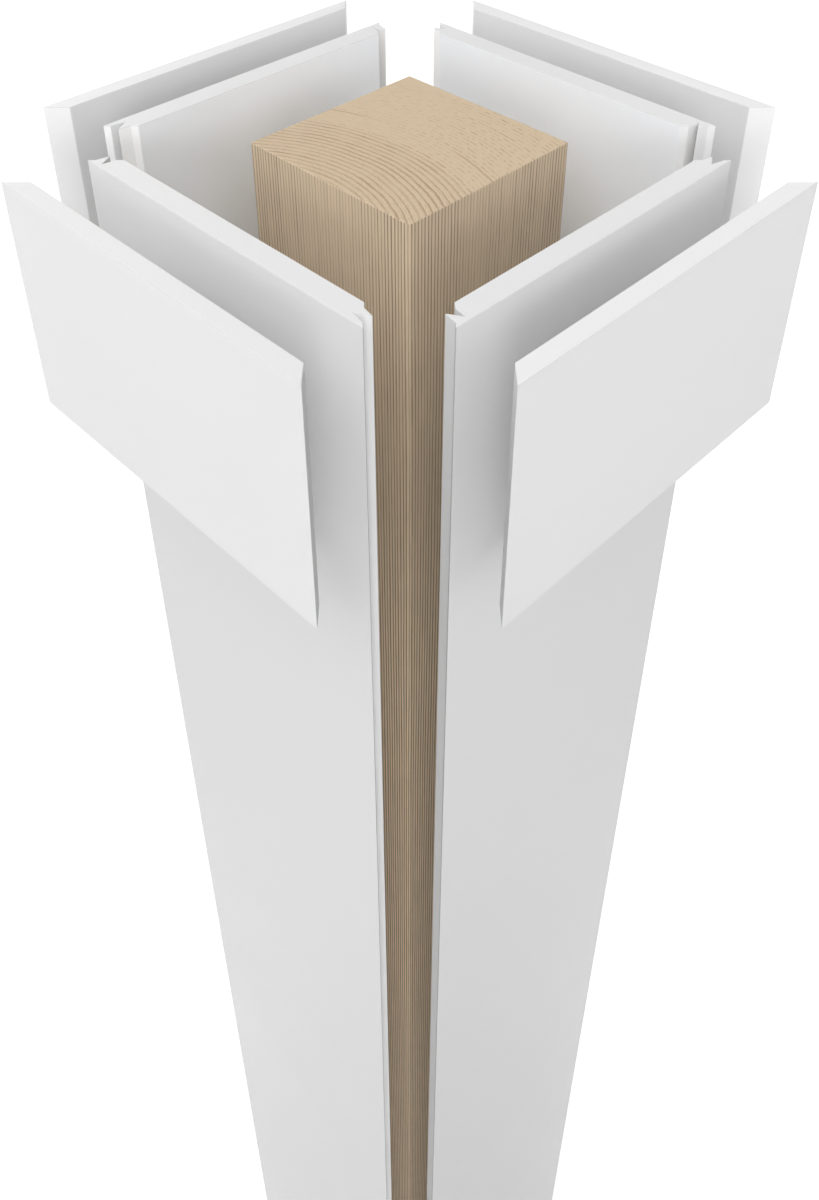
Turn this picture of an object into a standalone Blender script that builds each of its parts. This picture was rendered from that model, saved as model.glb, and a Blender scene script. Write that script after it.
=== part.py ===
"""Porch column wrap: four lock-mitred boards and a mitred collar, opened out round a square post.

Metres, +Z up. The origin is on the floor, at the middle of the post. The front is towards -Y.
Setting both stand-offs to zero closes the wrap round the post.
"""

import math

import bmesh
import bpy
from mathutils import Matrix, Vector

# The post and the height from the porch floor to the beam
COLUMN_HEIGHT = 2.4384
POST_WIDTH = 0.1397
POST_ARRIS_RADIUS = 0.0035
POST_ARRIS_STEPS = 5
POST_EASE = 0.0006

# The boards round the post
PACKING_GAP = 0.0365
BOARD_THICKNESS = 0.0159
BOARD_STANDOFF = 0.0320
BOARD_EASE = 0.0003

# The lock mitre runs from the outer corner of a board to its inner corner.
# A point on it is (way back from the outer corner, depth from the outer face), as shares of the thickness.
# Up to the flat, and from the knee on, it is a plain 45 degree mitre.
LOCK_FLAT = (0.21, 0.21)
LOCK_NOTCH = (0.81, 0.345)
LOCK_TONGUE = (0.25, 0.67)
LOCK_KNEE = (0.79, 0.79)
LOCK_FIT = 0.0003

# The collar at the head of the column
COLLAR_HEIGHT = 0.1683
COLLAR_THICKNESS = 0.0127
COLLAR_STANDOFF = 0.0700
COLLAR_FIT = 0.0003
COLLAR_EASE = 0.0004

# What follows from the sizes above, for the wrap when it is closed
WRAP_WIDTH = POST_WIDTH + 2 * (PACKING_GAP + BOARD_THICKNESS)
COLLAR_INSIDE = WRAP_WIDTH + 2 * COLLAR_FIT
COLLAR_OUTSIDE = COLLAR_INSIDE + 2 * COLLAR_THICKNESS

SIDES = ("front", "right", "back", "left")
EASE_ANGLE = math.radians(30)
WELD_DISTANCE = 0.00001


def clear_scene():
    for old in list(bpy.data.objects):
        bpy.data.objects.remove(old, do_unlink=True)


def make_collection(name):
    collection = bpy.data.collections.new(name)
    bpy.context.scene.collection.children.link(collection)
    return collection


def make_material(name, color, roughness):
    """A plain non-metallic surface."""
    material = bpy.data.materials.new(name)
    material.use_nodes = True
    shader = material.node_tree.nodes["Principled BSDF"]
    shader.inputs["Base Color"].default_value = (*color, 1.0)
    shader.inputs["Roughness"].default_value = roughness
    shader.inputs["Metallic"].default_value = 0.0
    material.diffuse_color = (*color, 1.0)
    return material


def offset_path(points, distance):
    """The open path moved to its left by a distance, with its inner corners mitred."""
    normals = []
    for start, end in zip(points, points[1:]):
        along = (end - start).normalized()
        normals.append(Vector((-along.y, along.x)))
    moved = [points[0] + normals[0] * distance]
    for point, before, after in zip(points[1:], normals, normals[1:]):
        moved.append(point + (before + after) * (distance / (1 + before.dot(after))))
    moved.append(points[-1] + normals[-1] * distance)
    return moved


def slide_to_depth(corner, neighbour, depth):
    """The point where the line through the two points crosses a depth."""
    share = (depth - corner.y) / (neighbour.y - corner.y)
    return corner.lerp(neighbour, share)


def lock_edge(tongued):
    """One edge of a board, from its outer to its inner corner, as (way back, depth) in metres.

    The grooved edge is the tongued one with way back and depth exchanged, so the two interlock.
    Each stays clear of the shared line by half of the fit.
    """
    shares = [(0.0, 0.0), LOCK_FLAT, LOCK_NOTCH, LOCK_TONGUE, LOCK_KNEE, (1.0, 1.0)]
    if not tongued:
        shares = [(depth, back) for back, depth in shares]
    path = [Vector(share) * BOARD_THICKNESS for share in shares]
    moved = offset_path(path, -LOCK_FIT / 2)
    moved[0] = slide_to_depth(moved[0], moved[1], 0.0)
    moved[-1] = slide_to_depth(moved[-1], moved[-2], BOARD_THICKNESS)
    return moved


def board_outline():
    """The section of a board: X along its face, Y from its outer face inwards."""
    half = WRAP_WIDTH / 2
    grooved = [(-half + back, depth) for back, depth in lock_edge(tongued=False)]
    tongued = [(half - back, depth) for back, depth in lock_edge(tongued=True)]
    return tongued + grooved[::-1]


def collar_outline():
    """The section of a collar piece, with both ends mitred at 45 degrees.

    Each mitred end stays clear of the corner's diagonal by half of the fit.
    """
    pull_back = COLLAR_FIT * math.sqrt(0.5)
    outer = COLLAR_OUTSIDE / 2 - pull_back
    inner = COLLAR_INSIDE / 2 - pull_back
    depth = COLLAR_THICKNESS
    return [(outer, 0.0), (inner, depth), (-inner, depth), (-outer, 0.0)]


def extrude_outline(name, outline, height, collection):
    """A board standing on end, made from its section. Its origin is at its middle, on its outer face."""
    curve = bpy.data.curves.new(name, "CURVE")
    curve.dimensions = "2D"
    curve.fill_mode = "BOTH"
    curve.extrude = height / 2
    spline = curve.splines.new("POLY")
    spline.points.add(len(outline) - 1)
    for point, (x, y) in zip(spline.points, outline):
        point.co = (x, y, 0.0, 1.0)
    spline.use_cyclic_u = True
    board = bpy.data.objects.new(name, curve)
    collection.objects.link(board)
    return board


def ease_edges(board, width):
    """Takes the sharp arrises off a sawn piece."""
    weld = board.modifiers.new("close_caps", "WELD")
    weld.merge_threshold = WELD_DISTANCE
    bevel = board.modifiers.new("eased_arrises", "BEVEL")
    bevel.width = width
    bevel.segments = 1
    bevel.limit_method = "ANGLE"
    bevel.angle_limit = EASE_ANGLE


def is_front_arris(edge):
    """Whether this is the upright edge between the front and the right face."""
    low, high = sorted(corner.co.z for corner in edge.verts)
    return low < 0 < high and all(corner.co.x > 0 > corner.co.y for corner in edge.verts)


def make_post(collection, material):
    """The square post. Its front arris is rounded, and its other edges are only eased."""
    mesh = bpy.data.meshes.new("wood_post")
    shape = bmesh.new()
    bmesh.ops.create_cube(shape, size=1.0)
    bmesh.ops.scale(shape, vec=(POST_WIDTH, POST_WIDTH, COLUMN_HEIGHT), verts=shape.verts)
    bmesh.ops.bevel(
        shape,
        geom=[edge for edge in shape.edges if is_front_arris(edge)],
        offset=POST_ARRIS_RADIUS,
        offset_type="OFFSET",
        segments=POST_ARRIS_STEPS,
        profile=0.5,
        affect="EDGES",
    )
    shape.to_mesh(mesh)
    shape.free()
    post = bpy.data.objects.new("wood_post", mesh)
    collection.objects.link(post)
    post.location.z = COLUMN_HEIGHT / 2
    ease_edges(post, POST_EASE)
    mesh.materials.append(material)
    return post


def make_side(index, side):
    """An empty on the post's axis. What is parented to it faces its side when it is placed facing -Y."""
    pivot = bpy.data.objects.new(f"side_{side}", None)
    bpy.context.scene.collection.objects.link(pivot)
    pivot.empty_display_size = POST_WIDTH
    pivot.matrix_world = Matrix.Rotation(index * math.pi / 2, 4, "Z")
    return pivot


def place(piece, pivot, outer_face, middle_height):
    piece.parent = pivot
    piece.location = (0.0, -outer_face, middle_height)


def main():
    clear_scene()
    parts = make_collection("porch_column_wrap")
    wood = make_material("softwood", (0.50, 0.37, 0.24), 0.65)
    board_pvc = make_material("board_pvc", (0.83, 0.83, 0.82), 0.45)
    collar_pvc = make_material("collar_pvc", (0.86, 0.86, 0.86), 0.45)
    make_post(parts, wood)
    for index, side in enumerate(SIDES):
        pivot = make_side(index, side)
        board = extrude_outline(f"board_{side}", board_outline(), COLUMN_HEIGHT, parts)
        board.data.materials.append(board_pvc)
        ease_edges(board, BOARD_EASE)
        place(board, pivot, WRAP_WIDTH / 2 + BOARD_STANDOFF, COLUMN_HEIGHT / 2)
        collar = extrude_outline(f"collar_{side}", collar_outline(), COLLAR_HEIGHT, parts)
        collar.data.materials.append(collar_pvc)
        ease_edges(collar, COLLAR_EASE)
        place(collar, pivot, COLLAR_OUTSIDE / 2 + COLLAR_STANDOFF, COLUMN_HEIGHT - COLLAR_HEIGHT / 2)


main()
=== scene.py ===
import math

import bmesh
import bpy
from mathutils import Matrix, Vector


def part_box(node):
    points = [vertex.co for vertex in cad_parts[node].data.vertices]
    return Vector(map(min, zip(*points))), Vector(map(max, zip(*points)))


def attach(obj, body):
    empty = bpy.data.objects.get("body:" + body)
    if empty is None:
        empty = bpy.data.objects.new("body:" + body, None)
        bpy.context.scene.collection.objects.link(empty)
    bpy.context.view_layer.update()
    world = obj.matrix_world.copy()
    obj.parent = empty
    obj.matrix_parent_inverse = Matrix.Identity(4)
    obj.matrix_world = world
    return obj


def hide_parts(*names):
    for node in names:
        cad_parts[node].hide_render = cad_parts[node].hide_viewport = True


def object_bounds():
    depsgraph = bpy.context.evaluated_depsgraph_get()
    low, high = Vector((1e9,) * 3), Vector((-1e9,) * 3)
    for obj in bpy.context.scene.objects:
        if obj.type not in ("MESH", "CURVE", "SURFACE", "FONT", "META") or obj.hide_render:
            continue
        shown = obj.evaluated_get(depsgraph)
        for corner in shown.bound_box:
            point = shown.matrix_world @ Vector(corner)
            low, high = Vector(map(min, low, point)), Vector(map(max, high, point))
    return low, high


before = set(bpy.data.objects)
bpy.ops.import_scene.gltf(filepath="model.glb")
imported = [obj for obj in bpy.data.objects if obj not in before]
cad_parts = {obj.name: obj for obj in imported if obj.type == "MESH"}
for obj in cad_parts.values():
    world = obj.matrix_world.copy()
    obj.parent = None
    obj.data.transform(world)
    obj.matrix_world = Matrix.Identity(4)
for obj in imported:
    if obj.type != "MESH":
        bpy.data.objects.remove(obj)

cad_low, cad_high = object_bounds()

# The camera, in metres and degrees, solved from the straight edges in the picture.
# It looks down on the front corner of the column, from a little above its head.
LENS = 36.24
SENSOR_LONG_SIDE = 36.0
SHIFT_UP = -0.2482
CAMERA_DISTANCE = 0.6725
CAMERA_RISE = 0.3497
CAMERA_PITCH = 35.006
CAMERA_AZIMUTH = 45.0

# The floor lies a little below the part, so the two don't share a plane
FLOOR_SIZE = 60.0
FLOOR_DROP = 0.0002
FLOOR_ALBEDO = 0.60

# A wedge of the floor behind the column glows, which makes the picture's white ground.
# Going back from the middle of the post, it sets in at one distance and is full at another.
# Its half width is given at the post, and grows by the spread with each metre further back.
# Past that it fades, over the width of its edge.
FLOOR_GLOW = 0.56
GLOW_FROM = -0.10
GLOW_FULL = 0.25
GLOW_HALF_WIDTH = 0.60
GLOW_SPREAD = 0.55
GLOW_EDGE = 1.0

# The pale backdrop above the floor is seen, and sheds no light
BACKDROP = 0.60

# Soft light from far away, as (azimuth, elevation, angle across, strength).
# Azimuth 0 is in front, and 90 at the right.
FAR_LAMPS = [
    (45.0, 10.0, 20.0, 0.56),
    (180.0, 10.0, 60.0, 0.85),
    (270.0, 10.0, 60.0, 2.45),
    (45.0, 35.0, 60.0, 0.89),
    (90.0, 35.0, 60.0, 0.17),
    (180.0, 35.0, 60.0, 0.09),
    (0.0, 62.0, 60.0, 0.68),
    (45.0, 62.0, 60.0, 0.60),
    (315.0, 62.0, 60.0, 0.47),
]

# Soft boxes near the head of the column, as (azimuth, power)
BOX_DISTANCE = 1.3
BOX_HEIGHT = 2.7
BOX_SIZE = 0.9
BOX_LAMPS = [
    (315.0, 1.24),
    (0.0, 1.21),
    (90.0, 2.83),
]

# The post. Its front arris is rounded, and its other sharp edges are eased.
# Faces smaller than the strip area are shaded smooth.
ARRIS_RADIUS = 0.0035
ARRIS_STEPS = 12
EDGE_EASE = 0.0006
EDGE_EASE_STEPS = 3
SHARP_FROM = math.radians(60)
STRIP_AREA = 0.005

# The rings of the post's ends, in metres. The pith lies outside the front face.
# Near it the rings are whole, and past the whole rings they are broken and closer together.
PITH = (0.0035, -0.1584)
RING_WIDTH = 0.0041
OUTER_RING_WIDTH = 0.0033
OUTER_RINGS_FROM = 0.1500
WHOLE_RINGS_END = (0.149, 0.155)
RING_WANDER = 0.0030
RING_RIPPLE = 0.0010

# Each ring darkens between the first two shares of its width, and returns to light between the others
RING_RISE = (0.46, 0.82)
RING_FALL = (0.86, 1.0)
RING_STRENGTHS = (0.50, 1.0)
RING_PATCHES = (0.70, 1.20)
FINE_RINGS_TO_A_RING = 2.3
FINE_RING_STRENGTH = 0.45
PORE_STRENGTH = 0.26

# Where the noise is below the first value a ring is lost, and above the second one it is whole.
# The broken rings are fainter towards the left.
BROKEN_RINGS = (0.42, 0.62)
BROKEN_FINE_RINGS = (0.38, 0.62)
BROKEN_RINGS_FADE = (-0.035, 0.030)
BROKEN_RINGS_FAINTEST = 0.60

# One dark ring, which is lost round its middle
LONE_RING = 0.1708
LONE_RING_HALF_WIDTH = 0.0007
LONE_RING_MIDDLE = -0.008
LONE_RING_GAP = (0.025, 0.045)
LONE_RING_STRENGTH = 0.70

# The lines of the post's long faces, in metres. They are fainter at the middle of a face.
# Their count starts high enough to stay above zero all round the post.
SIDE_LINE_WIDTH = 0.0027
LINE_COUNT_START = 80.0
LINE_SWAY = 2.0
LINE_JITTER = 0.7
LINE_RISE = (0.38, 0.62)
LINE_FALL = (0.68, 0.90)
LINE_STRENGTHS = (0.75, 1.15)
LINE_PATCHES = (0.70, 1.0)
FAINT_MIDDLE = (0.012, 0.048)
FAINT_LINES = 0.55

# The hairs are finer and broken lines between them
HAIRS_TO_A_LINE = 2.37
HAIR_RISE = (0.40, 0.65)
HAIR_FALL = (0.72, 0.92)
BROKEN_HAIRS = (0.40, 0.62)
HAIR_STRENGTH = 0.24
FIBRE_STRENGTH = 0.40

# Between these values of the noise, rings and lines go from their fainter to their stronger patches
DRIFT = (0.30, 0.65)

# Noise in the rings: blobs to a radian, blobs to a metre outwards, and a number that sets it apart
WANDER_NOISE = (3.5, 22.0, 3.0)
RIPPLE_NOISE = (26.0, 130.0, 7.0)
RING_DRIFT_NOISE = (9.0, 70.0, 1.0)
BROKEN_RING_NOISE = (42.0, 420.0, 5.0)
PORE_NOISE = (90.0, 900.0, 0.0)

# Noise in the lines: blobs to a metre round the post, blobs to a metre up it, and a number of its own
SWAY_NOISE = (7.0, 1.6, 4.0)
JITTER_NOISE = (130.0, 5.0, 9.0)
LINE_DRIFT_NOISE = (90.0, 16.0, 2.0)
BROKEN_HAIR_NOISE = (420.0, 45.0, 6.0)
FIBRE_NOISE = (1100.0, 25.0, 0.0)

# Down from the head the long faces turn paler, which is painted light for the light deep in the gap
# round the post, and their lines bolder
PALER_FROM = 0.16
PALER_TO = 0.42
BOLDER_LINES = 0.85

# How much darker the right face and the front arris are than the front face. This is painted shade: on
# the right face for the light that falls less on it, and on the arris against the highlight that its
# rounding catches.
# The arris across the post from it is as dark.
RIGHT_FACE_DARKER = 0.15
ARRIS_DARKER = 0.10

# A face of the post passes for an end, or for facing a side, as its normal leans this far that way
FACES_UP = (0.45, 0.85)
FACES_SIDE = (0.60, 0.76)

# How rough the light and the dark grain are, and how deep the dark grain lies, in metres
WOOD_ROUGHNESS = (0.66, 0.52)
WOOD_RELIEF = 0.00012

# Colours, linear. The two far faces of the post, which face the far boards, are painted paler than the
# others:
# painted light, so that they throw more light onto the inner faces of those boards.
END_LIGHT = (0.640, 0.505, 0.347)
END_DARK = (0.420, 0.297, 0.188)
SIDE_LIGHT = (0.672, 0.534, 0.376)
SIDE_DARK = (0.260, 0.194, 0.130)
# Painted light: the light tone of the long faces lower down, paler for the light deep in the gap
LOWER_SIDE_LIGHT_PAINTED_PALER = (0.905, 0.726, 0.517)
# The far faces' colours, painted paler than the post's own: painted light they throw onto the far boards
FAR_FACE_LIGHT_PAINTED_PALER = (0.850, 0.730, 0.570)
FAR_FACE_DARK_PAINTED_PALER = (0.440, 0.345, 0.240)

# The plastic, linear. The inner faces of the boards are paler than the skin and lean to blue; the blue
# lean is painted light, which cancels the warm light the post throws onto them. The other faces are
# grey.
BOARD_BACK = (0.940, 0.962, 1.0)
BOARD_SKIN = 0.79
BOARD_CUT = 0.805
COLLAR_SKIN = 0.86
# The collar's cut ends and backs differ by side, which is painted light and shade: the front's cut ends
# are darker, the near backs paler to throw more light into the slots behind them, the far backs darker
# in their slots
COLLAR_CUT = {"front": 0.815, "right": 0.85, "back": 0.85, "left": 0.85}
COLLAR_BACK = {"front": 0.95, "right": 0.88, "back": 0.78, "left": 0.78}
# The level eased edges are darker than the faces beside them: painted shade against the highlight they
# catch
EASED_EDGE = 0.70

# How rough the plastic is, and how much its tone and its roughness vary
BOARD_SKIN_ROUGHNESS = 0.35
BOARD_CUT_ROUGHNESS = 0.50
MILLED_ROUGHNESS = 0.55
PLAIN_ROUGHNESS = 0.60
TONE_SPREAD = 0.008
ROUGHNESS_SPREAD = 0.04

# The cells of the plastic: their depth in metres, on a face and on a cut
CELL_DEPTH = 0.00002
CUT_CELL_DEPTH = 0.00003

# How many cells there are to a metre, and how many clouds of a paler or deeper tone
CELLS = 1800.0
CLOUDS = 9.0

# Greys of the milled edges: of the tongued edge its flats, its notch and the tongue's own side,
# and of the grooved edge its flats and its groove. Most are paler on the two far sides. The near and far
# greys differ by how the light falls on them, which is painted light and shade.
NEAR_EDGES = (0.68, 0.87, 0.87, 0.53, 0.68)
FAR_EDGES = (0.985, 0.74, 0.98, 0.86, 0.84)

# Greys of the mitres of the collar, and of the upright eased arrises of the boards. The near ones are
# darker and the far ones paler, which is painted shade and painted light.
NEAR_MITRE = 0.58
FAR_MITRE = 0.93
NEAR_ARRIS = 0.42
FAR_ARRIS = 0.92

SIDES = ("front", "right", "back", "left")
NEAR_SIDES = ("front", "right")

# The kinds of face, in the order of the materials of a piece
KINDS = (
    "cut end", "outer face", "inner face",
    "tongued flat", "notch", "tongue's side",
    "grooved flat", "groove",
    "eased end", "eased upright",
)

# What tells the faces of a solid apart: parts of a unit normal, a distance in metres, the widest eased
# arris in metres, and how deep the notch reaches, as a share of the board's thickness
SQUARE_ON = 0.9
SLOPING = 0.2
NEARLY_EQUAL = 0.1
SAME_PLACE = 0.0002
WIDEST_EASE = 0.0006
NOTCH_REACH = 0.6


class Graph:
    """Adds and joins the nodes of one material."""

    # The sockets of a mix node that take and give colours
    MIX_FIRST = 6
    MIX_SECOND = 7
    MIX_RESULT = 2

    def __init__(self, name):
        self.material = bpy.data.materials.new(name)
        self.material.use_nodes = True
        self.tree = self.material.node_tree
        self.shader = self.tree.nodes["Principled BSDF"]
        self.place = self.add("TexCoord", {}).outputs["Object"]

    def add(self, kind, inputs, **settings):
        """A new node. Each input takes a value, or an output of another node."""
        node = self.tree.nodes.new("ShaderNode" + kind)
        for name, value in settings.items():
            setattr(node, name, value)
        for key, value in inputs.items():
            self.join(value, node.inputs[key])
        return node

    def join(self, value, socket):
        if isinstance(value, bpy.types.NodeSocket):
            self.tree.links.new(value, socket)
        else:
            socket.default_value = value

    def math(self, operation, *values):
        return self.add("Math", dict(enumerate(values)), operation=operation).outputs[0]

    def total(self, first, *others):
        for other in others:
            first = self.math("ADD", first, other)
        return first

    def product(self, first, *others):
        for other in others:
            first = self.math("MULTIPLY", first, other)
        return first

    def split(self, vector):
        node = self.add("SeparateXYZ", {"Vector": vector})
        return node.outputs["X"], node.outputs["Y"], node.outputs["Z"]

    def vector(self, x, y, z):
        return self.add("CombineXYZ", {"X": x, "Y": y, "Z": z}).outputs["Vector"]

    def place_times(self, scale):
        """The place on the object, times a scale."""
        node = self.add("VectorMath", {0: self.place, 1: (scale,) * 3}, operation="MULTIPLY")
        return node.outputs["Vector"]

    def noise(self, vector, detail=2.0):
        """Smooth noise between 0 and 1, about one blob to each unit of the vector."""
        node = self.add("TexNoise", {"Vector": vector, "Scale": 1.0, "Detail": detail})
        return node.outputs["Fac"]

    def either_side(self, noise, width):
        """Noise as an amount either side of zero, over a width."""
        return self.product(self.math("SUBTRACT", noise, 0.5), width)

    def chance(self, value):
        """A random number between 0 and 1 for each whole value."""
        whole = self.math("FLOOR", value)
        return self.add("TexWhiteNoise", {"W": whole}, noise_dimensions="1D").outputs["Value"]

    def ramp(self, value, low, high, to_low=0.0, to_high=1.0):
        """A smooth step from one level to another as the value goes from low to high."""
        levels = {"Value": value, "From Min": low, "From Max": high, "To Min": to_low, "To Max": to_high}
        return self.add("MapRange", levels, interpolation_type="SMOOTHSTEP").outputs["Result"]

    def blend(self, share, first, second):
        """A mix of two colours."""
        node = self.add("Mix", {"Factor": share}, data_type="RGBA")
        self.join(first, node.inputs[self.MIX_FIRST])
        self.join(second, node.inputs[self.MIX_SECOND])
        return node.outputs[self.MIX_RESULT]

    def bump(self, height, depth):
        """Relief of a depth in metres."""
        node = self.add("Bump", {"Height": height, "Distance": depth, "Strength": 1.0})
        self.join(node.outputs["Normal"], self.shader.inputs["Normal"])

    def finish(self, colour, roughness):
        self.join(colour, self.shader.inputs["Base Color"])
        self.join(roughness, self.shader.inputs["Roughness"])
        return self.material


def opaque(colour):
    return (*colour, 1.0)


def stripe(graph, count, rise, fall):
    """A dark stripe in each whole count: it rises from one share to the next, and falls likewise."""
    share = graph.math("FRACT", count)
    return graph.product(graph.ramp(share, *rise), graph.ramp(share, *fall, 1.0, 0.0))


def latewood(graph, count):
    """Within each ring, a slow darkening and a quick return to light. One ring to each whole count."""
    return stripe(graph, count, RING_RISE, RING_FALL)


def ring_noise(graph, turn, radius, scales):
    """Smooth noise that follows the rings."""
    by_turn, by_radius, number = scales
    place = graph.vector(graph.product(turn, by_turn), graph.product(radius, by_radius), number)
    return graph.noise(place)


def line_noise(graph, around, height, scales):
    """Smooth noise that follows the lines of the long faces."""
    by_around, by_height, number = scales
    place = graph.vector(graph.product(around, by_around), number, graph.product(height, by_height))
    return graph.noise(place)


def lone_ring(graph, radius, x):
    """One dark ring, lost round its middle."""
    off = graph.math("ABSOLUTE", graph.math("SUBTRACT", radius, LONE_RING))
    line = graph.ramp(off, LONE_RING_HALF_WIDTH * 0.3, LONE_RING_HALF_WIDTH * 1.6, 1.0, 0.0)
    aside = graph.math("ABSOLUTE", graph.math("SUBTRACT", x, LONE_RING_MIDDLE))
    return graph.product(line, graph.ramp(aside, *LONE_RING_GAP), LONE_RING_STRENGTH)


def end_grain(graph):
    """The growth rings on a cross-cut end, from 0, light, to 1, dark."""
    x, y, _ = graph.split(graph.place)
    across = graph.math("SUBTRACT", x, PITH[0])
    along = graph.math("SUBTRACT", y, PITH[1])
    turn = graph.math("ARCTAN2", across, along)
    radius = graph.math("SQRT", graph.total(graph.product(across, across), graph.product(along, along)))
    wander = ring_noise(graph, turn, radius, WANDER_NOISE)
    ripple = ring_noise(graph, turn, radius, RIPPLE_NOISE)
    radius = graph.total(
        radius,
        graph.either_side(wander, RING_WANDER),
        graph.either_side(ripple, RING_RIPPLE),
    )
    beyond = graph.math("MAXIMUM", graph.math("SUBTRACT", radius, OUTER_RINGS_FROM), 0.0)
    count = graph.total(
        graph.product(radius, 1.0 / RING_WIDTH),
        graph.product(beyond, 1.0 / OUTER_RING_WIDTH - 1.0 / RING_WIDTH),
    )
    strength = graph.ramp(graph.chance(count), 0.0, 1.0, *RING_STRENGTHS)
    drift = ring_noise(graph, turn, radius, RING_DRIFT_NOISE)
    broken = ring_noise(graph, turn, radius, BROKEN_RING_NOISE)
    near = graph.product(
        graph.ramp(drift, *DRIFT, *RING_PATCHES),
        graph.ramp(radius, *WHOLE_RINGS_END, 1.0, 0.0),
    )
    far = graph.product(
        graph.ramp(broken, *BROKEN_RINGS),
        graph.ramp(radius, *WHOLE_RINGS_END),
        graph.ramp(x, *BROKEN_RINGS_FADE, BROKEN_RINGS_FAINTEST, 1.0),
    )
    rings = graph.product(latewood(graph, count), strength, graph.total(near, far))
    between = latewood(graph, graph.product(count, FINE_RINGS_TO_A_RING))
    fine = graph.product(between, graph.ramp(broken, *BROKEN_FINE_RINGS), near, FINE_RING_STRENGTH)
    dark = graph.math("MAXIMUM", graph.total(rings, fine), lone_ring(graph, radius, x))
    pores = ring_noise(graph, turn, radius, PORE_NOISE)
    return graph.total(dark, graph.either_side(pores, PORE_STRENGTH))


def lower_down(graph):
    """From 0 near the head of the post to 1 further down."""
    below = graph.math("SUBTRACT", cad_high.z, graph.split(graph.place)[2])
    return graph.ramp(below, PALER_FROM, PALER_TO)


def side_grain_and_painted_shade(graph, to_right):
    """The straight lines on the long faces, from 0, light, to 1, dark, with painted shade on the arrises
    and right face.
    """
    x, y, z = graph.split(graph.place)
    around = graph.total(x, y)
    sway = line_noise(graph, around, z, SWAY_NOISE)
    jitter = line_noise(graph, around, z, JITTER_NOISE)
    count = graph.total(
        graph.product(around, 1.0 / SIDE_LINE_WIDTH),
        graph.either_side(sway, LINE_SWAY),
        graph.either_side(jitter, LINE_JITTER),
        LINE_COUNT_START,
    )
    line = stripe(graph, count, LINE_RISE, LINE_FALL)
    strength = graph.ramp(graph.chance(count), 0.0, 1.0, *LINE_STRENGTHS)
    drift = line_noise(graph, around, z, LINE_DRIFT_NOISE)
    patches = graph.ramp(drift, *DRIFT, *LINE_PATCHES)
    half_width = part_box("wood_post")[1].x
    from_middle = graph.math("SUBTRACT", graph.math("ABSOLUTE", around), half_width)
    fade = graph.ramp(graph.math("ABSOLUTE", from_middle), *FAINT_MIDDLE, FAINT_LINES, 1.0)
    bolder = graph.total(graph.product(lower_down(graph), BOLDER_LINES), 1.0)
    hair = stripe(graph, graph.product(count, HAIRS_TO_A_LINE), HAIR_RISE, HAIR_FALL)
    broken = line_noise(graph, around, z, BROKEN_HAIR_NOISE)
    fibre = line_noise(graph, around, z, FIBRE_NOISE)
    from_arris = graph.math("ABSOLUTE", around)
    return graph.total(
        graph.product(line, strength, patches, fade, bolder),
        graph.product(hair, graph.ramp(broken, *BROKEN_HAIRS), HAIR_STRENGTH),
        graph.either_side(fibre, FIBRE_STRENGTH),
        # Painted shade: the arrises and the right face are darkened
        graph.ramp(from_arris, ARRIS_RADIUS * 0.6, ARRIS_RADIUS * 1.4, ARRIS_DARKER, 0.0),
        graph.ramp(to_right, *FACES_SIDE, 0.0, RIGHT_FACE_DARKER),
    )


def make_fir():
    """Planed fir: rings on the cut ends, straight lines on the long faces, which carry painted light and
    shade.
    """
    graph = Graph("planed_fir")
    to_right, to_back, up = graph.split(graph.add("NewGeometry", {}).outputs["Normal"])
    is_end = graph.ramp(graph.math("ABSOLUTE", up), *FACES_UP)
    # Painted light: the two far faces, towards the far boards, are painted paler
    away = graph.math("MAXIMUM", graph.product(to_right, -1.0), to_back)
    is_far_face = graph.ramp(away, *FACES_SIDE)
    rings = graph.math("MAXIMUM", end_grain(graph), 0.0)
    # Besides the lines, this carries painted shade on the arrises and the right face
    lines = graph.math("MAXIMUM", side_grain_and_painted_shade(graph, to_right), 0.0)
    end_colour = graph.blend(rings, opaque(END_LIGHT), opaque(END_DARK))
    # Painted light: lower down the long faces turn paler
    side_light = graph.blend(lower_down(graph), opaque(SIDE_LIGHT), opaque(LOWER_SIDE_LIGHT_PAINTED_PALER))
    side_colour = graph.blend(
        lines,
        graph.blend(is_far_face, side_light, opaque(FAR_FACE_LIGHT_PAINTED_PALER)),
        graph.blend(is_far_face, opaque(SIDE_DARK), opaque(FAR_FACE_DARK_PAINTED_PALER)),
    )
    dark = graph.total(
        graph.product(is_end, rings),
        graph.product(graph.math("SUBTRACT", 1.0, is_end), lines),
    )
    graph.bump(graph.math("MULTIPLY", dark, -1.0), WOOD_RELIEF)
    roughness = graph.ramp(dark, 0.0, 1.0, *WOOD_ROUGHNESS)
    return graph.finish(graph.blend(is_end, side_colour, end_colour), roughness)


def make_pvc(name, colour, roughness, cell_depth=CELL_DEPTH):
    """White cellular PVC: an even skin, or a milled face with fine closed cells."""
    graph = Graph(name)
    clouds = graph.noise(graph.place_times(CLOUDS), detail=3.0)
    cells = graph.noise(graph.place_times(CELLS), detail=1.0)
    paler = tuple(min(1.0, part * (1.0 + TONE_SPREAD)) for part in colour)
    deeper = tuple(part * (1.0 - TONE_SPREAD) for part in colour)
    tone = graph.blend(clouds, opaque(deeper), opaque(paler))
    graph.bump(cells, cell_depth)
    varied = graph.ramp(clouds, 0.3, 0.7, roughness - ROUGHNESS_SPREAD, roughness + ROUGHNESS_SPREAD)
    return graph.finish(tone, varied)


def make_grey_pvc(name, grey, roughness=PLAIN_ROUGHNESS, cell_depth=CELL_DEPTH):
    return make_pvc(name, (grey, grey, grey), roughness, cell_depth)


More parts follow.
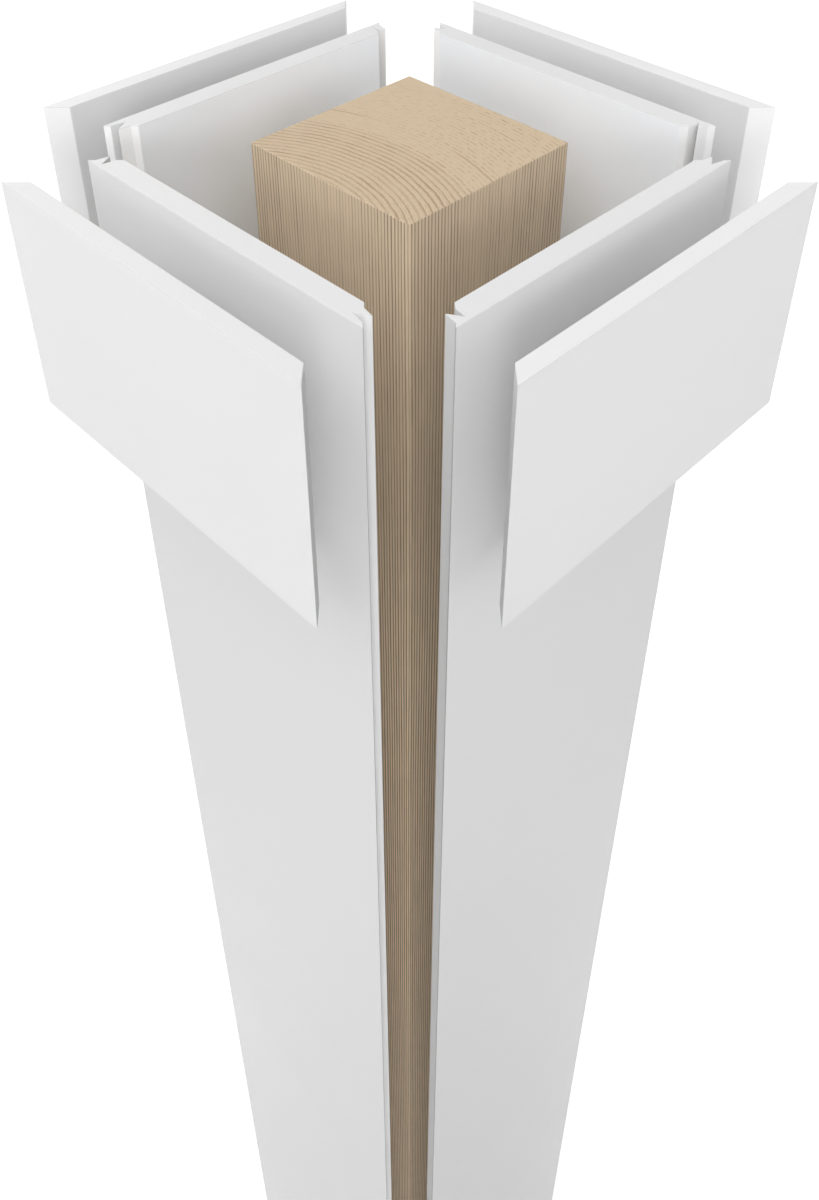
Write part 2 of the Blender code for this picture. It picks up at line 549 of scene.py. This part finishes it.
def make_post(material):
    """The timber, standing where its solid stands."""
    low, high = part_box("wood_post")
    middle = (low + high) / 2
    shape = bmesh.new()
    bmesh.ops.create_cube(shape, size=1.0)
    bmesh.ops.scale(shape, vec=high - low, verts=shape.verts)
    bmesh.ops.translate(shape, vec=middle, verts=shape.verts)
    front = [
        edge for edge in shape.edges
        if all(corner.co.x > middle.x and corner.co.y < middle.y for corner in edge.verts)
    ]
    bmesh.ops.bevel(
        shape, geom=front, offset=ARRIS_RADIUS, offset_type="OFFSET",
        segments=ARRIS_STEPS, profile=0.5, affect="EDGES",
    )
    sharp = [edge for edge in shape.edges if edge.calc_face_angle(0.0) > SHARP_FROM]
    bmesh.ops.bevel(
        shape, geom=sharp, offset=EDGE_EASE, offset_type="OFFSET",
        segments=EDGE_EASE_STEPS, profile=0.5, affect="EDGES",
    )
    mesh = bpy.data.meshes.new("post_timber")
    shape.to_mesh(mesh)
    shape.free()
    mesh.materials.append(material)
    for face in mesh.polygons:
        face.use_smooth = face.area < STRIP_AREA
    post = bpy.data.objects.new("post_timber", mesh)
    bpy.context.scene.collection.objects.link(post)
    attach(post, "root")
    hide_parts("wood_post")


def kind_of_face(face, turn, outer, inner, height):
    """The kind of a face of a piece, once the piece is turned to face the front."""
    middle = turn @ face.center
    normal = turn @ face.normal
    if abs(normal.z) > SQUARE_ON:
        return "cut end"
    if abs(middle.y - outer) < SAME_PLACE and abs(normal.y) > SQUARE_ON:
        return "outer face"
    if abs(middle.y - inner) < SAME_PLACE and abs(normal.y) > SQUARE_ON:
        return "inner face"
    if abs(normal.z) > SLOPING:
        return "eased end"
    if face.area < WIDEST_EASE * height:
        return "eased upright"
    is_flat = abs(abs(normal.x) - abs(normal.y)) < NEARLY_EQUAL
    if middle.x < 0:
        return "grooved flat" if is_flat else "groove"
    if is_flat:
        return "tongued flat"
    return "notch" if middle.y - outer < NOTCH_REACH * (inner - outer) else "tongue's side"


def dress(node, turn, materials):
    """A piece with the solid's shape, and a material for each kind of face."""
    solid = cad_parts[node]
    mesh = solid.data.copy()
    mesh.name = f"{node}_pvc"
    mesh.materials.clear()
    for material in materials:
        mesh.materials.append(material)
    depths = [(turn @ corner.co).y for corner in mesh.vertices]
    heights = [corner.co.z for corner in mesh.vertices]
    height = max(heights) - min(heights)
    for face in mesh.polygons:
        kind = kind_of_face(face, turn, min(depths), max(depths), height)
        face.material_index = KINDS.index(kind)
    piece = bpy.data.objects.new(f"{node}_pvc", mesh)
    bpy.context.scene.collection.objects.link(piece)
    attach(piece, "root")
    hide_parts(node)


def make_wrap():
    """The boards and the collar. Each list of materials follows the order of the kinds of face."""
    board_faces = [
        make_grey_pvc("board_cut_end", BOARD_CUT, BOARD_CUT_ROUGHNESS, CUT_CELL_DEPTH),
        make_grey_pvc("board_skin", BOARD_SKIN, BOARD_SKIN_ROUGHNESS),
        make_pvc("board_back_face", BOARD_BACK, PLAIN_ROUGHNESS),
    ]
    collar_skin = make_grey_pvc("collar_skin", COLLAR_SKIN)
    # Painted shade: the level eased edges are darkened
    eased = make_grey_pvc("eased_edge", EASED_EDGE)
    for index, side in enumerate(SIDES):
        # Painted light and shade: near sides get darker greys for edges, arrises and mitres, and far
        # sides paler ones
        is_near = side in NEAR_SIDES
        edge_greys = NEAR_EDGES if is_near else FAR_EDGES
        arris_grey = NEAR_ARRIS if is_near else FAR_ARRIS
        mitre_grey = NEAR_MITRE if is_near else FAR_MITRE
        upright = make_grey_pvc(f"{side}_upright_arris", arris_grey)
        mitre = make_grey_pvc(f"{side}_collar_mitre", mitre_grey, MILLED_ROUGHNESS)
        board_edges = [
            make_grey_pvc(f"{side}_board_edge_{place}", grey, MILLED_ROUGHNESS)
            for place, grey in enumerate(edge_greys)
        ]
        # Painted light and shade: the collar's cut ends and backs take their greys by side
        collar_faces = [
            make_grey_pvc(f"{side}_collar_cut_end", COLLAR_CUT[side], MILLED_ROUGHNESS, CUT_CELL_DEPTH),
            collar_skin,
            make_grey_pvc(f"{side}_collar_back_face", COLLAR_BACK[side]),
        ]
        board_list = board_faces + board_edges + [eased, upright]
        collar_list = collar_faces + [mitre] * len(edge_greys) + [eased, eased]
        to_front = Matrix.Rotation(-index * math.pi / 2, 3, "Z")
        dress(f"board_{side}", to_front, board_list)
        dress(f"collar_{side}", to_front, collar_list)


def make_floor():
    """A large pale floor, with a wedge behind the column that glows."""
    mesh = bpy.data.meshes.new("studio_floor")
    shape = bmesh.new()
    bmesh.ops.create_grid(shape, x_segments=1, y_segments=1, size=FLOOR_SIZE / 2)
    shape.to_mesh(mesh)
    shape.free()
    floor = bpy.data.objects.new("studio_floor", mesh)
    floor.location.z = cad_low.z - FLOOR_DROP
    bpy.context.scene.collection.objects.link(floor)
    graph = Graph("pale_floor")
    graph.shader.inputs["Specular IOR Level"].default_value = 0.0
    graph.shader.inputs["Emission Color"].default_value = (1.0, 1.0, 1.0, 1.0)
    x, y, _ = graph.split(graph.place)
    back = graph.product(graph.math("SUBTRACT", y, x), math.sqrt(0.5))
    aside = graph.math("ABSOLUTE", graph.product(graph.total(x, y), math.sqrt(0.5)))
    edge = graph.total(graph.product(back, GLOW_SPREAD), GLOW_HALF_WIDTH)
    past_edge = graph.math("SUBTRACT", aside, edge)
    glow = graph.product(
        graph.ramp(back, GLOW_FROM, GLOW_FULL, 0.0, FLOOR_GLOW),
        graph.ramp(past_edge, 0.0, GLOW_EDGE, 1.0, 0.0),
    )
    graph.join(glow, graph.shader.inputs["Emission Strength"])
    mesh.materials.append(graph.finish(opaque((FLOOR_ALBEDO,) * 3), 1.0))


def direction(azimuth, elevation):
    """A unit vector from the column towards an azimuth, in degrees from the front, and an elevation."""
    turn, rise = math.radians(azimuth), math.radians(elevation)
    return Vector((math.sin(turn) * math.cos(rise), -math.cos(turn) * math.cos(rise), math.sin(rise)))


def add_lamp(data, place):
    """A lamp that shines from its place towards the head of the column."""
    lamp = bpy.data.objects.new(data.name, data)
    bpy.context.scene.collection.objects.link(lamp)
    head = Vector((0.0, 0.0, cad_high.z))
    lamp.location = place
    lamp.rotation_euler = (head - place).to_track_quat("-Z", "Y").to_euler()


def make_light():
    world = bpy.data.worlds.new("studio")
    world.use_nodes = True
    background = world.node_tree.nodes["Background"]
    background.inputs["Color"].default_value = (1.0, 1.0, 1.0, 1.0)
    background.inputs["Strength"].default_value = BACKDROP
    bpy.context.scene.world = world
    world.cycles_visibility.diffuse = False
    world.cycles_visibility.glossy = False
    head = Vector((0.0, 0.0, cad_high.z))
    for azimuth, elevation, across, strength in FAR_LAMPS:
        data = bpy.data.lights.new(f"far_{azimuth:.0f}_{elevation:.0f}", "SUN")
        data.angle = math.radians(across)
        data.energy = strength
        add_lamp(data, head + direction(azimuth, elevation) * FLOOR_SIZE)
    for azimuth, power in BOX_LAMPS:
        data = bpy.data.lights.new(f"box_{azimuth:.0f}", "AREA")
        data.size = BOX_SIZE
        data.energy = power
        place = direction(azimuth, 0.0) * BOX_DISTANCE
        add_lamp(data, Vector((place.x, place.y, BOX_HEIGHT)))


def make_camera():
    data = bpy.data.cameras.new("camera")
    data.lens = LENS
    data.sensor_width = SENSOR_LONG_SIDE
    data.shift_y = SHIFT_UP
    data.clip_end = FLOOR_SIZE * 2
    camera = bpy.data.objects.new("camera", data)
    bpy.context.scene.collection.objects.link(camera)
    turn = math.radians(CAMERA_AZIMUTH)
    camera.location = (
        math.sin(turn) * CAMERA_DISTANCE,
        -math.cos(turn) * CAMERA_DISTANCE,
        cad_high.z + CAMERA_RISE,
    )
    camera.rotation_euler = (math.radians(90 - CAMERA_PITCH), 0.0, turn)
    bpy.context.scene.camera = camera


make_camera()
make_light()
make_floor()
make_post(make_fir())
make_wrap()
bpy.context.scene.view_settings.view_transform = "Standard"
